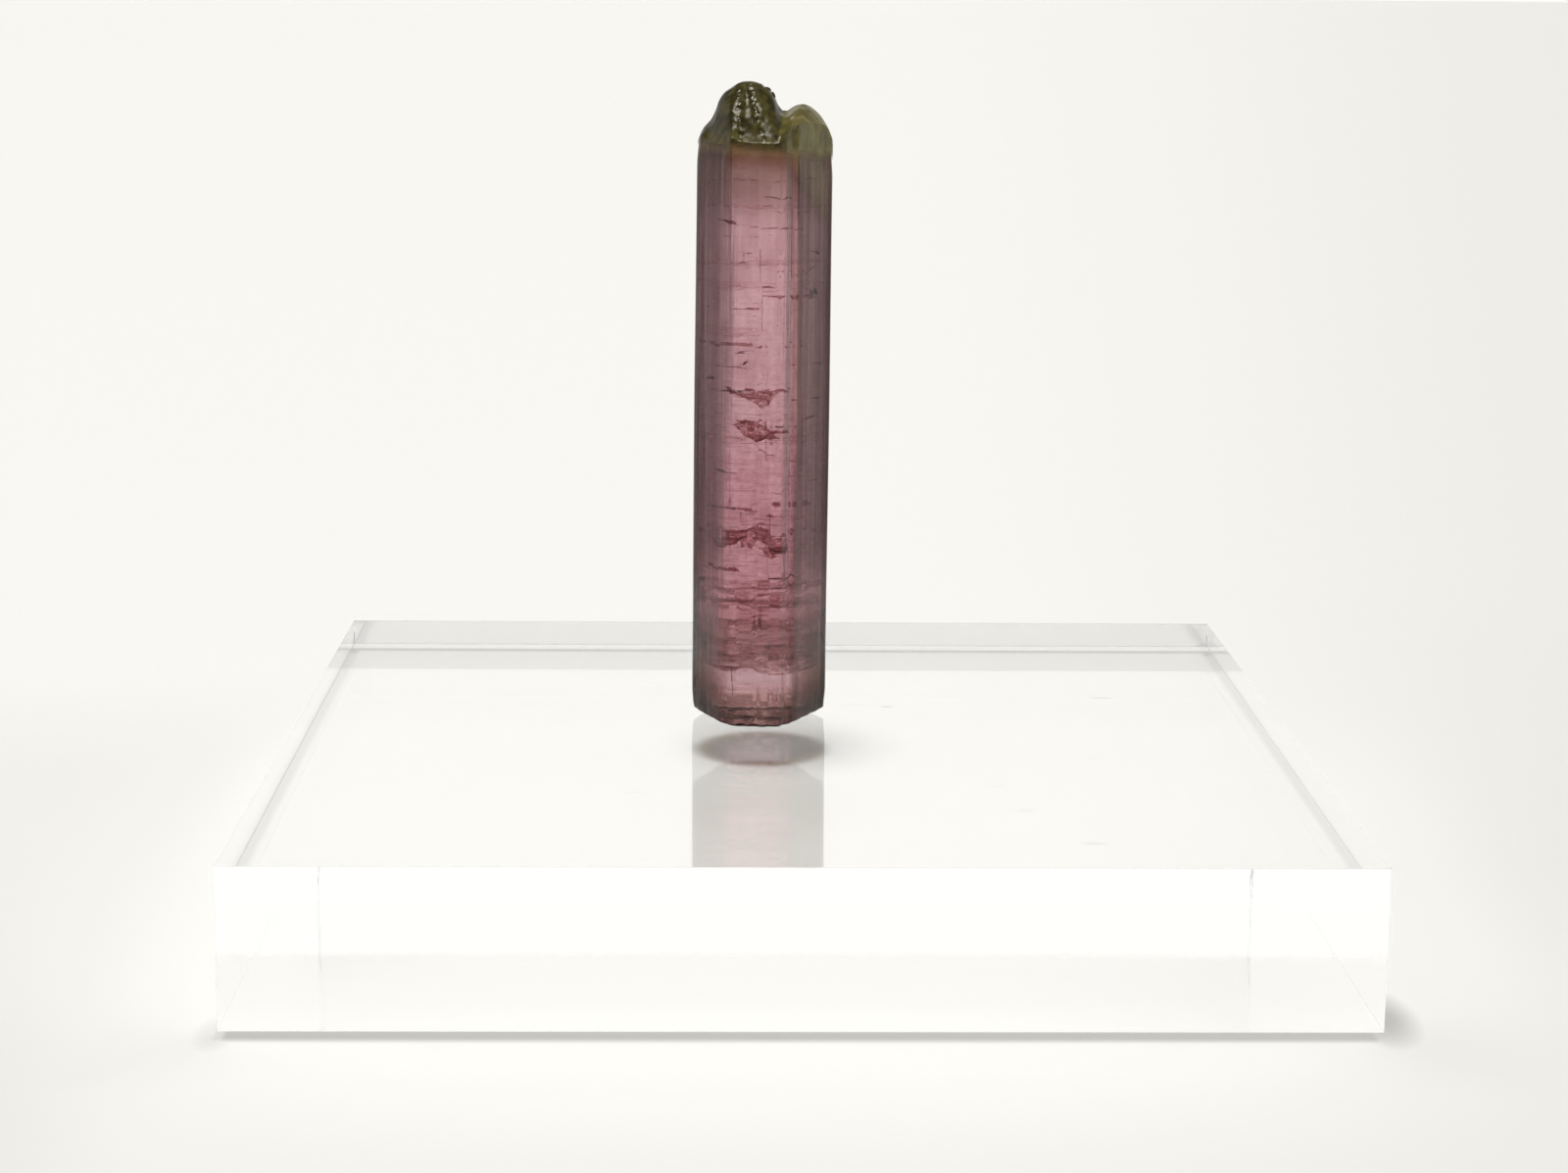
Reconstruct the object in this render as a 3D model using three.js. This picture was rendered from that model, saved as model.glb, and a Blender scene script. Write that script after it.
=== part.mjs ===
// A watermelon tourmaline crystal standing on end on a square slab of clear acrylic.
// Millimetres, +Z up, +Y away from the viewer, origin at the centre of the slab's underside.
import * as THREE from "three";
import { mergeVertices } from "three/addons/utils/BufferGeometryUtils.js";

// Slab: a square cut from clear cast sheet, its edges barely broken
const SLAB_SIDE = 63.5;
const SLAB_THICK = 9.3;
const SLAB_CORNER_RADIUS = 0.5;
const SLAB_EDGE_BREAK = 0.2;

// Crystal: where its axis stands on the slab, and how far it leans to the right over its length
const AXIS_X = -2.12;
const AXIS_Y = 3.35;
const LEAN_X = 0.19;

// Crystal: the prism's corners in plan, and how far each face between two corners bulges
const CORNERS = [
  [4.52, 0.05],
  [2.25, 4.05],
  [-2.15, 4.0],
  [-4.47, -0.1],
  [-2.4, -3.95],
  [1.88, -4.0],
];
const FACE_BULGE = [0.12, 0.25, 0.12, 0.1, 0.3, 0.1];
const FACE_SHARE = 0.07; // where a face begins and ends, as a share of the way between two corners

// Crystal: heights above its foot
const SHOULDER = 36.95; // the front rim of the main dome
const LOBE_SHOULDER = 37.9; // the front rim of the second lobe
const CORNER_SHOULDER = 37.4; // the left corner edge runs on past the dome's rim
const TAPER_FROM = 16;
const TOP_SCALE = 0.982;

// Crystal: the skyline of the growth end, left to right, as distance from the axis and height
const SKYLINE = [
  [-4.4, 36.6],
  [-4.12, 37.45],
  [-3.36, 38.55],
  [-2.99, 39.5],
  [-2.2, 40.3],
  [-1.16, 40.7],
  [-0.06, 40.4],
  [0.62, 39.85],
  [0.9, 39.2],
  [1.24, 38.8],
  [1.75, 39.15],
  [2.56, 39.28],
  [3.33, 38.8],
  [3.98, 38.0],
  [4.4, 37.0],
];
const DOME_ROUNDING = 1.5; // 1 gives flat slopes, 2 a round dome

// Crystal: the broken foot stands on its middle, and its rim is worn away more at the sides
const FOOT_RIM_LIFT = 0.12;
const FOOT_SIDE_LIFT = 0.42;
const FOOT_FLAT = 0.86; // share of the plan that touches the slab

// Crystal: lengthwise striations, as depth, width of one groove and phase
const STRIATIONS = [
  [0.035, 1.9, 0.4],
  [0.022, 1.05, 1.9],
];
const GROOVE_DEPTH = 0.16; // the re-entrant line between the main crystal and its right-hand lobe
const GROOVE_WIDTH = 0.24;
const GROOVE_CORNER = 5;
const GROOVE_START = 0.12;

// Fineness of the crystal's surface
const COLUMNS = 120;
const WALL_ROWS = 8;
const CAP_RING_COUNT = 17;
const CAP_RING_CROWDING = 1.3; // above 1 sets the rings closer together towards the rim
const FOOT_RINGS = [0.96, FOOT_FLAT, 0.45];

const smooth = (low, high, value) => THREE.MathUtils.smoothstep(value, low, high);
const mix = THREE.MathUtils.lerp;

// The prism's outline in plan: each face is a shallow bow, and the curve rounds each corner.
function prismOutline() {
  const along = [];
  CORNERS.forEach(([x, y], i) => {
    const [nextX, nextY] = CORNERS[(i + 1) % CORNERS.length];
    const length = Math.hypot(nextX - x, nextY - y);
    const out = new THREE.Vector3((nextY - y) / length, (x - nextX) / length, 0);
    for (const share of [FACE_SHARE, 0.5, 1 - FACE_SHARE]) {
      const bulge = FACE_BULGE[i] * (1 - (2 * share - 1) ** 2);
      const point = new THREE.Vector3(mix(x, nextX, share), mix(y, nextY, share), 0);
      along.push(point.addScaledVector(out, bulge));
    }
  });
  return new THREE.CatmullRomCurve3(along, true, "centripetal");
}

// Points round the outline, cut in by the striations and by the re-entrant groove
function prismColumns() {
  const outline = prismOutline();
  const length = outline.getLength();
  const [grooveX, grooveY] = CORNERS[GROOVE_CORNER];
  const columns = [];
  for (let i = 0; i < COLUMNS; i++) {
    const share = i / COLUMNS;
    const point = outline.getPointAt(share);
    const tangent = outline.getTangentAt(share);
    const outward = new THREE.Vector3(tangent.y, -tangent.x, 0);
    let depth = 0;
    for (const [groove, width, phase] of STRIATIONS) {
      const count = Math.round(length / width);
      depth += groove * (0.5 + 0.5 * Math.sin(2 * Math.PI * count * share + phase));
    }
    const fromGroove = Math.hypot(point.x - grooveX, point.y - grooveY) - GROOVE_START;
    depth += GROOVE_DEPTH * Math.exp(-((Math.max(fromGroove, 0) / GROOVE_WIDTH) ** 2));
    columns.push(point.addScaledVector(outward, -depth));
  }
  return columns;
}

// How far the prism reaches in Y at a distance X from its axis
function halfDepth(x) {
  const corner = CORNERS[0][0];
  const front = -CORNERS[4][1];
  const faceEnd = CORNERS[1][0];
  const beyond = THREE.MathUtils.clamp((corner - Math.abs(x)) / (corner - faceEnd), 0.04, 1);
  return front * beyond + 0.25;
}

const skyline = new THREE.CubicInterpolant(
  SKYLINE.map(([x]) => x),
  SKYLINE.map(([, z]) => z),
  1,
);

// The growth end: a main dome on the left and a lower lobe on the right, with a notch between them
function capHeight(x, y) {
  const [crest] = skyline.evaluate(THREE.MathUtils.clamp(x, SKYLINE[0][0], SKYLINE.at(-1)[0]));
  let rim = mix(SHOULDER, LOBE_SHOULDER, smooth(0.8, 1.7, x));
  rim = mix(CORNER_SHOULDER, rim, smooth(-4.2, -3.6, x));
  rim = Math.min(rim, crest);
  const fall = Math.min(Math.abs(y) / halfDepth(x), 1) ** DOME_ROUNDING;
  return mix(crest, rim, fall);
}

// The broken foot: flat in the middle, lifted at its rim, and most of all at its two sides
function footHeight(x, ring) {
  const side = smooth(2.4, 4.4, Math.abs(x));
  return mix(FOOT_RIM_LIFT, FOOT_SIDE_LIFT, side) * smooth(FOOT_FLAT, 1, ring);
}

function plan(column, ring, z) {
  const scale = ring * mix(1, TOP_SCALE, smooth(TAPER_FROM, SHOULDER, z));
  const lean = LEAN_X * (z / SHOULDER);
  return [column.x * scale + lean, column.y * scale, z];
}

function crystalGeometry() {
  const columns = prismColumns();
  const vertices = [];
  const triangles = [];
  const addRing = (ring, heightOf) => {
    for (const column of columns) {
      const x = column.x * ring;
      const y = column.y * ring;
      vertices.push(...plan(column, ring, heightOf(x, y, ring)));
    }
  };
  for (const ring of [...FOOT_RINGS].reverse()) addRing(ring, (x, y, r) => footHeight(x, r));
  for (let row = 0; row <= WALL_ROWS; row++) {
    addRing(1, (x, y) => mix(footHeight(x, 1), capHeight(x, y), row / WALL_ROWS));
  }
  for (let step = 1; step <= CAP_RING_COUNT; step++) {
    addRing(1 - (step / (CAP_RING_COUNT + 1)) ** CAP_RING_CROWDING, capHeight);
  }

  const rings = vertices.length / 3 / COLUMNS;
  for (let ring = 0; ring + 1 < rings; ring++) {
    for (let i = 0; i < COLUMNS; i++) {
      const next = (i + 1) % COLUMNS;
      const [a, b] = [ring * COLUMNS + i, ring * COLUMNS + next];
      const [c, d] = [b + COLUMNS, a + COLUMNS];
      triangles.push(a, b, c, a, c, d);
    }
  }
  const footCentre = vertices.length / 3;
  vertices.push(0, 0, 0);
  const capCentre = footCentre + 1;
  vertices.push(LEAN_X, 0, capHeight(0, 0));
  const lastRing = (rings - 1) * COLUMNS;
  for (let i = 0; i < COLUMNS; i++) {
    const next = (i + 1) % COLUMNS;
    triangles.push(footCentre, next, i);
    triangles.push(capCentre, lastRing + i, lastRing + next);
  }
  const geometry = new THREE.BufferGeometry();
  geometry.setAttribute("position", new THREE.Float32BufferAttribute(vertices, 3));
  geometry.setIndex(triangles);
  return geometry;
}

// The slab: a square with slightly rounded corners and a fine break on every edge
function slabGeometry() {
  const half = SLAB_SIDE / 2 - SLAB_EDGE_BREAK;
  const turn = half - SLAB_CORNER_RADIUS;
  const square = new THREE.Shape();
  square.absarc(turn, turn, SLAB_CORNER_RADIUS, 0, Math.PI / 2);
  square.absarc(-turn, turn, SLAB_CORNER_RADIUS, Math.PI / 2, Math.PI);
  square.absarc(-turn, -turn, SLAB_CORNER_RADIUS, Math.PI, 1.5 * Math.PI);
  square.absarc(turn, -turn, SLAB_CORNER_RADIUS, 1.5 * Math.PI, 2 * Math.PI);
  const extruded = new THREE.ExtrudeGeometry(square, {
    depth: SLAB_THICK - 2 * SLAB_EDGE_BREAK,
    curveSegments: 4,
    bevelThickness: SLAB_EDGE_BREAK,
    bevelSize: SLAB_EDGE_BREAK,
    bevelSegments: 1,
  });
  extruded.translate(0, 0, SLAB_EDGE_BREAK);
  extruded.deleteAttribute("normal");
  extruded.deleteAttribute("uv");
  return mergeVertices(extruded);
}

const object = new THREE.Group();

const clearAcrylic = new THREE.MeshStandardMaterial({
  color: 0xf2f5f3,
  roughness: 0.04,
  metalness: 0,
  transparent: true,
  opacity: 0.35,
});
const slab = new THREE.Mesh(slabGeometry(), clearAcrylic);
slab.name = "acrylic_slab";
object.add(slab);

const tourmaline = new THREE.MeshStandardMaterial({
  color: 0xa0707c,
  roughness: 0.12,
  metalness: 0,
  transparent: true,
  opacity: 0.8,
});
const crystal = new THREE.Mesh(crystalGeometry(), tourmaline);
crystal.name = "tourmaline_crystal";
crystal.position.set(AXIS_X, AXIS_Y, SLAB_THICK);
object.add(crystal);

export default object;
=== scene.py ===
import math
import random
import bpy
from mathutils import Matrix, Vector, noise


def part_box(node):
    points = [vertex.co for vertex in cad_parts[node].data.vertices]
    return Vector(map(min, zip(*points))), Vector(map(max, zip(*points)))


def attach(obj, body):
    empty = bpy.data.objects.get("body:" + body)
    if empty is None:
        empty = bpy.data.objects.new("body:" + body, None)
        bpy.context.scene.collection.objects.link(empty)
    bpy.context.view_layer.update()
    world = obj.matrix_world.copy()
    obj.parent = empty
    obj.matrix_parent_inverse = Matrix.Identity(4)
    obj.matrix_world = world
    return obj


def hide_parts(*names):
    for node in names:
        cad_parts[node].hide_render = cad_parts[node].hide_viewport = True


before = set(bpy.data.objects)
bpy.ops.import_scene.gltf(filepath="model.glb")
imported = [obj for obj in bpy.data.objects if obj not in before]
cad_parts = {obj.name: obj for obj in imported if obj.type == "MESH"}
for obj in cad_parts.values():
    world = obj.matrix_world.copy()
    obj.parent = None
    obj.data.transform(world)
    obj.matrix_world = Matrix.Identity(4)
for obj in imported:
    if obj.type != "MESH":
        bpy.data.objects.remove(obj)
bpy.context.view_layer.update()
scene = bpy.context.scene
MM = 0.001

# Camera
# The eye is a little under 20 cm away and looks slightly down on the slab. Place, turn and lens come from
# the slab's six visible corners. The light is followed a long way, because it crosses many clear surfaces.
EYE = (-4.64 * MM, -187.98 * MM, 55.95 * MM)
TURN_LEFT = math.radians(-1.244)
LOOK_DOWN = math.radians(11.305)
ROLL = math.radians(0.489)
camera_data = bpy.data.cameras.new("camera")
camera_data.lens = 69.325
camera_data.sensor_width = 36
camera_data.clip_start = 0.005
camera_data.clip_end = 20
camera = bpy.data.objects.new("camera", camera_data)
scene.collection.objects.link(camera)
camera.matrix_world = (
    Matrix.Translation(EYE)
    @ Matrix.Rotation(TURN_LEFT, 4, "Z")
    @ Matrix.Rotation(math.pi / 2 - LOOK_DOWN, 4, "X")
    @ Matrix.Rotation(ROLL, 4, "Z")
)
scene.camera = camera
scene.view_settings.view_transform = "Standard"
scene.cycles.max_bounces = 32
scene.cycles.transmission_bounces = 28
scene.cycles.glossy_bounces = 12
scene.cycles.transparent_max_bounces = 48
scene.cycles.sample_clamp_indirect = 30
scene.cycles.blur_glossy = 0

# Paper and room
# White paper in a bright room, with the soft shades of slab and stone painted on it. Four grey cards, set
# cornerwise and seen only in and through clear pieces, give the stone its dark flanks, and what the stone
# mirrors from overhead and from in front is dim.
SLAB_LOW, SLAB_HIGH = (Vector(corner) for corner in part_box("acrylic_slab"))
SLAB_HALF = SLAB_HIGH.x
SLAB_TOP = SLAB_HIGH.z
SLAB_GAP = 0.4 * MM
FLOOR_RADIUS = 14.0
BLACK = (0, 0, 0, 1)
PAPER = (0.945, 0.94, 0.92, 1)
# Painted light: the paper is a little brighter where it is seen through the slab beyond its far side
PAPER_BRIGHTENED_BEHIND = (0.98, 0.98, 0.965, 1)  # through the slab, beyond its far side
# Painted shade on the paper under the slab
UNDER_SLAB_SHADE = (0.953, 0.953, 0.947, 1)
# A painted shadow on the paper under the stone's foot: its tone, and the middle of it
STONE_SHADOW_TONE = (0.37, 0.31, 0.21, 1)
FOOT_SHADOW = (-1.83 * MM, 3.5 * MM)
POOL_CENTRE = (-10 * MM, 45 * MM)  # where the paper is brightest; it gets darker towards the viewer
NEAR_SHADE = 0.08
LEFT_SHADE = 0.07
RIGHT_SHADE = 0.11
BESIDE_SHADE = 0.05  # on the paper round the front of the slab
# Painted shadow lines on the paper along the slab's edges, and a painted shade under its front
FRONT_EDGE_SHADOW = 0.25  # under the slab's edges; the far one is darker
BACK_EDGE_SHADOW = 0.5
FRONT_SHADE = 0.42
# Painted shadows on the paper by the slab's front corners
CORNER_SHADOWS = (  # place, how far it reaches and how dark it is
    (32.3, -28.2, 3.3, 0.5),
    (-32.0, -31.0, 2.2, 0.18),
)
CARD_DARKNESS = 0.68
CARD_NEAREST = 60 * MM
FRONT_DARKNESS = 0.75
FRONT_DIM_FROM = -40 * MM


def add(tree, kind, values=None, **settings):
    """Adds a node; values gives its inputs, each a number, a colour or another node's output."""
    made = tree.nodes.new(kind)
    for setting, choice in settings.items():
        setattr(made, setting, choice)
    for socket, value in (values or {}).items():
        if isinstance(value, bpy.types.NodeSocket):
            tree.links.new(value, made.inputs[socket])
        else:
            made.inputs[socket].default_value = value
    return made


def arithmetic(tree, operation, *terms):
    """Math nodes; each term is a number or an output, and more than two are taken one after another."""
    while len(terms) > 2:
        terms = (arithmetic(tree, operation, *terms[:2]), *terms[2:])
    return add(tree, "ShaderNodeMath", dict(enumerate(terms)), operation=operation).outputs[0]


def distance(tree, x, y, middle=(0, 0), stretch=(1, 1)):
    """How far a place in plan lies from a middle, with each way multiplied by its stretch."""
    squares = []
    for value, start, factor in zip((x, y), middle, stretch):
        off = arithmetic(tree, "MULTIPLY", arithmetic(tree, "SUBTRACT", value, start), factor)
        squares.append(arithmetic(tree, "MULTIPLY", off, off))
    return arithmetic(tree, "SQRT", arithmetic(tree, "ADD", *squares))


def ramp(tree, value, low, high, to_low=0.0, to_high=1.0):
    """A smooth step from one level to another."""
    between = {"Value": value, "From Min": low, "From Max": high, "To Min": to_low, "To Max": to_high}
    return add(tree, "ShaderNodeMapRange", between, interpolation_type="SMOOTHSTEP").outputs["Result"]


def blend_colours(tree, share, first, second, how="MIX"):
    """A colour Mix node."""
    values = {0: share, 6: first, 7: second}
    return add(tree, "ShaderNodeMix", values, data_type="RGBA", blend_type=how).outputs[2]


def corner_cards(tree, x, y):
    """1 on the four diagonals and 0 on the four main directions."""
    twice = arithmetic(tree, "MULTIPLY", arithmetic(tree, "ARCTAN2", y, x), 2)
    return ramp(tree, arithmetic(tree, "ABSOLUTE", arithmetic(tree, "SINE", twice)), 0.45, 0.9)


def mirrored_only(tree):
    """1 for rays that a surface has mirrored, and not for those that pass through clear material."""
    path = add(tree, "ShaderNodeLightPath").outputs
    return arithmetic(tree, "MULTIPLY", path["Is Glossy Ray"], path["Is Reflection Ray"])


bpy.ops.object.select_all(action="DESELECT")
bpy.ops.mesh.primitive_circle_add(
    vertices=96, radius=FLOOR_RADIUS, fill_type="NGON", location=(0, 0, -SLAB_GAP),
)
floor = bpy.context.object
floor.name = "paper_floor"
paper = bpy.data.materials.new("white_paper")
paper.use_nodes = True
tree = paper.node_tree
spot = add(tree, "ShaderNodeTexCoord").outputs["Object"]
x, y, z = add(tree, "ShaderNodeSeparateXYZ", {0: spot}).outputs
sideways = arithmetic(tree, "ABSOLUTE", x)
off_edge = arithmetic(tree, "SUBTRACT", arithmetic(
    tree, "MAXIMUM", sideways, arithmetic(tree, "ABSOLUTE", y)), SLAB_HALF)
through_clear = add(tree, "ShaderNodeLightPath").outputs["Is Transmission Ray"]
mirrored = mirrored_only(tree)

# The paper's white, with a painted shadow under the stone's foot and a painted shade under the slab;
# beyond the slab's far side, where it is seen through the slab, it is painted brighter
brightened_beyond_slab = arithmetic(tree, "MULTIPLY", ramp(tree, y, 33 * MM, 40 * MM), through_clear)
white = blend_colours(tree, brightened_beyond_slab, PAPER, PAPER_BRIGHTENED_BEHIND)
from_foot = distance(tree, x, y, FOOT_SHADOW)
# Painted shadow under the stone's foot, a little lighter in its middle
shadow_under_foot = arithmetic(tree, "MULTIPLY", ramp(tree, from_foot, 5.0 * MM, 3.6 * MM),
                        ramp(tree, from_foot, 1.5 * MM, 3.4 * MM, 0.66, 1))
white = blend_colours(tree, shadow_under_foot, white, STONE_SHADOW_TONE)
# Painted shade on the paper under the slab
white = blend_colours(tree, ramp(tree, off_edge, 0.5 * MM, -0.5 * MM), white, UNDER_SLAB_SHADE, "MULTIPLY")

# The broad soft shades add up
near_shade = arithmetic(
    tree, "MULTIPLY",
    ramp(tree, distance(tree, x, y, POOL_CENTRE, (1.25, 1)), 60 * MM, 125 * MM, 0, NEAR_SHADE),
    ramp(tree, y, 100 * MM, 0),
)
left_shade = arithmetic(tree, "MULTIPLY", ramp(tree, x, -31 * MM, -44 * MM, 0, LEFT_SHADE),
                        ramp(tree, y, 60 * MM, 20 * MM))
round_right = arithmetic(tree, "DIVIDE", x, arithmetic(
    tree, "ADD", arithmetic(tree, "ABSOLUTE", y), 190 * MM))
right_shade = ramp(tree, round_right, 0.02, 0.34, 0, RIGHT_SHADE)
beside = arithmetic(tree, "MULTIPLY", ramp(tree, off_edge, 9 * MM, 1 * MM, 0, BESIDE_SHADE),
                    ramp(tree, y, 20 * MM, -10 * MM), ramp(tree, off_edge, -0.5 * MM, 0.5 * MM))
shade = arithmetic(tree, "ADD", near_shade, beside, left_shade, right_shade)

# The narrow painted shadows along the slab's edges and by its front corners, and the cards, don't: the
# darkest wins
shadow_along_edges = ramp(tree, arithmetic(tree, "ABSOLUTE", off_edge), 0.7 * MM, 0.1 * MM, 0,
                 ramp(tree, y, 30 * MM, 31 * MM, FRONT_EDGE_SHADOW, BACK_EDGE_SHADOW))
shadow_under_front = arithmetic(tree, "MULTIPLY", ramp(tree, y, -32.9 * MM, -31.5 * MM),
                         ramp(tree, y, -30.2 * MM, -30.7 * MM),
                         ramp(tree, sideways, 32.2 * MM, 31.2 * MM, 0, FRONT_SHADE))
darkest = [shade, shadow_along_edges, shadow_under_front]
for spot_x, spot_y, reach, depth in CORNER_SHADOWS:
    off_spot = distance(tree, x, y, (spot_x * MM, spot_y * MM), (1, 0.42))
    darkest.append(ramp(tree, off_spot, reach * MM, 0.2 * MM, 0, depth))
darkest.append(arithmetic(
    tree, "MULTIPLY", corner_cards(tree, x, y),
    ramp(tree, distance(tree, x, y), CARD_NEAREST, 2 * CARD_NEAREST),
    arithmetic(tree, "MAXIMUM", through_clear, mirrored), CARD_DARKNESS,
))
darkest.append(arithmetic(tree, "MULTIPLY", ramp(tree, y, FRONT_DIM_FROM, FRONT_DIM_FROM - 30 * MM),
                          mirrored, FRONT_DARKNESS))
shader = tree.nodes["Principled BSDF"]
shaded = blend_colours(tree, arithmetic(tree, "MAXIMUM", *darkest), white, BLACK)
tree.links.new(shaded, shader.inputs["Base Color"])
shader.inputs["Roughness"].default_value = 0.9
shader.inputs["Specular IOR Level"].default_value = 0.1
floor.data.materials.append(paper)

BACKDROP = (0.97, 0.965, 0.945, 1)
ROOM_LOW = (1.055, 1.05, 1.035, 1)
ROOM_HIGH = (0.22, 0.22, 0.22, 1)
ROOM_HIGH_MIRRORED = (0.088, 0.088, 0.088, 1)
LAMP_MIRRORED = (9, 8.64, 7.56, 1)
LAMP_TOWARD = Vector((-0.03, 0.05, 1)).normalized()
LAMP_EDGE = (math.cos(math.radians(10)), math.cos(math.radians(6)))
VIEWER_DARKNESS = 0.8
MIRRORED_LOSS = 0.14
ROOM_ON_PAPER = 0.48
world = bpy.data.worlds.new("room")
scene.world = world
world.use_nodes = True
tree = world.node_tree
toward = add(tree, "ShaderNodeTexCoord").outputs["Generated"]
x, y, z = add(tree, "ShaderNodeSeparateXYZ", {0: toward}).outputs
light_path = add(tree, "ShaderNodeLightPath").outputs
mirrored = mirrored_only(tree)
low_down = ramp(tree, z, 0.55, 0.35)
light = blend_colours(tree, mirrored, ROOM_HIGH, ROOM_HIGH_MIRRORED)
light = blend_colours(tree, low_down, light, ROOM_LOW)
for darkness in (
    arithmetic(tree, "MULTIPLY", corner_cards(tree, x, y), low_down, CARD_DARKNESS),
    ramp(tree, y, 0.1, -0.3, 0, VIEWER_DARKNESS),
    arithmetic(tree, "MULTIPLY", mirrored, MIRRORED_LOSS),
):
    light = blend_colours(tree, darkness, light, BLACK)
toward_lamp = add(tree, "ShaderNodeVectorMath", {0: toward, 1: LAMP_TOWARD}, operation="DOT_PRODUCT")
before_paper = arithmetic(tree, "LESS_THAN", light_path["Diffuse Depth"], 0.5)
lamp = ramp(tree, toward_lamp.outputs["Value"], *LAMP_EDGE)
lamp = arithmetic(tree, "MULTIPLY", lamp, before_paper, mirrored)
light = blend_colours(tree, lamp, light, LAMP_MIRRORED)
on_paper = arithmetic(tree, "MULTIPLY", arithmetic(tree, "MINIMUM", light_path["Diffuse Depth"], 1),
                      1 - ROOM_ON_PAPER)
light = blend_colours(tree, on_paper, light, BLACK)
tree.links.new(blend_colours(tree, light_path["Is Camera Ray"], light, BACKDROP),
               tree.nodes["Background"].inputs["Color"])

# Slab
# A square of clear cast acrylic sheet, 9.3 mm thick, cut to size. Its top and bottom are as cast, with a
# few small marks on top; its cut sides were polished and keep faint upright waves, and its four upright
# corners are a little smeared. The crystal stands on it, left of its middle.
AXIS_X = -2.12  # the middle of the crystal's foot, in millimetres like all sizes of the crystal
AXIS_Y = 3.35
CORNER_RADIUS = 0.025 * MM
EDGE_BREAK = 0.012 * MM
CLEAR = (0.992, 0.992, 0.984, 1)
MARKED = (0.25, 0.24, 0.2, 1)
# Painted shade: the slab's colour where the stone mirrors it near its foot
SHADE_MIRRORED_IN_STONE = (0.05, 0.04, 0.03, 1)
SMEARED_MATT = 0.16
UNDERSIDE_MATT = 0.05
WAVE_DEPTH = 0.01 * MM
MARKS = (  # where its middle lies, half its length, half its width, how dark it is
    (6.4, 5.1, 0.6, 0.3, 0.5),
    (4.2, 5.6, 1.3, 0.3, 0.15),
    (20.9, 7.8, 1.1, 0.3, 0.42),
    (11.9, -14.8, 0.7, 0.4, 0.10),
    (13.0, -20.2, 0.8, 0.5, 0.12),
    (16.2, -27.0, 1.2, 0.45, 0.2),
    (-9.6, -16.4, 0.9, 0.3, 0.1),
)
bpy.ops.object.select_all(action="DESELECT")
bpy.ops.mesh.primitive_cube_add(size=1, location=(SLAB_LOW + SLAB_HIGH) / 2, scale=SLAB_HIGH - SLAB_LOW)
slab = bpy.context.object
slab.name = "clear_slab"
bpy.ops.object.transform_apply(location=True, rotation=True, scale=True)
for upright, size, segments in ((True, CORNER_RADIUS, 4), (False, EDGE_BREAK, 2)):
    bpy.ops.object.mode_set(mode="EDIT")
    bpy.ops.mesh.select_mode(type="EDGE")
    bpy.ops.mesh.select_all(action="DESELECT")
    bpy.ops.object.mode_set(mode="OBJECT")
    for edge in slab.data.edges:
        start, end = (slab.data.vertices[i].co for i in edge.vertices)
        edge.select = (abs(start.z - end.z) > 1 * MM) == upright
    bpy.ops.object.mode_set(mode="EDIT")
    bpy.ops.mesh.bevel(offset=size, segments=segments)
    bpy.ops.object.mode_set(mode="OBJECT")
bpy.ops.object.shade_smooth()
for face in slab.data.polygons:
    face.use_smooth = face.area < 2 * SLAB_TOP * CORNER_RADIUS


def new_group(name, inputs, outputs):
    """A shader node group with its sockets; also gives the sockets at both ends, to be linked inside."""
    group = bpy.data.node_groups.new(name, "ShaderNodeTree")
    for side, sockets in (("INPUT", inputs), ("OUTPUT", outputs)):
        for label, kind in sockets.items():
            group.interface.new_socket(label, in_out=side, socket_type="NodeSocket" + kind)
    return group, add(group, "NodeGroupInput").outputs, add(group, "NodeGroupOutput").inputs


drawn_out, given, put_out = new_group(
    "drawn_out_noise",
    {"Place": "Vector", "Drawn": "Vector", "Scale": "Float", "Detail": "Float", "Roughness": "Float"},
    {"Noise": "Float"},
)
stretched = add(drawn_out, "ShaderNodeMapping", {"Vector": given["Place"], "Scale": given["Drawn"]})
values = {label: given[label] for label in ("Scale", "Detail", "Roughness")}
grain = add(drawn_out, "ShaderNodeTexNoise", {"Vector": stretched.outputs[0], **values})
drawn_out.links.new(grain.outputs[0], put_out["Noise"])


def drawn_noise(tree, place, drawn, scale, detail=3.0, roughness=0.6):
    """Noise whose marks are drawn out along an axis; a small factor in drawn makes them long on it."""
    values = {"Place": place, "Drawn": drawn, "Scale": scale, "Detail": detail, "Roughness": roughness}
    return add(tree, "ShaderNodeGroup", values, node_tree=drawn_out).outputs["Noise"]


acrylic = bpy.data.materials.new("clear_acrylic")
acrylic.use_nodes = True
tree = acrylic.node_tree
shader = tree.nodes["Principled BSDF"]
shader.inputs["IOR"].default_value = 1.49
shader.inputs["Transmission Weight"].default_value = 1
place = add(tree, "ShaderNodeMapping", {
    "Vector": add(tree, "ShaderNodeTexCoord").outputs["Object"],
    "Scale": (1 / MM, 1 / MM, 1 / MM),
}).outputs[0]
x, y, z = add(tree, "ShaderNodeSeparateXYZ", {0: place}).outputs
from_side = arithmetic(tree, "SUBTRACT", SLAB_HALF / MM, arithmetic(tree, "ABSOLUTE", x))
from_end = arithmetic(tree, "SUBTRACT", SLAB_HALF / MM, arithmetic(tree, "ABSOLUTE", y))
on_side = ramp(tree, arithmetic(tree, "MINIMUM", from_side, from_end), 0.2, 0.05)
at_corner = ramp(tree, arithmetic(tree, "MAXIMUM", from_side, from_end), 1.8, 0.2)
smears = ramp(tree, drawn_noise(tree, place, (1, 1, 0.4), 0.8, 4), 0.42, 0.62)
smeared = arithmetic(tree, "MULTIPLY", at_corner, smears, SMEARED_MATT)
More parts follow.
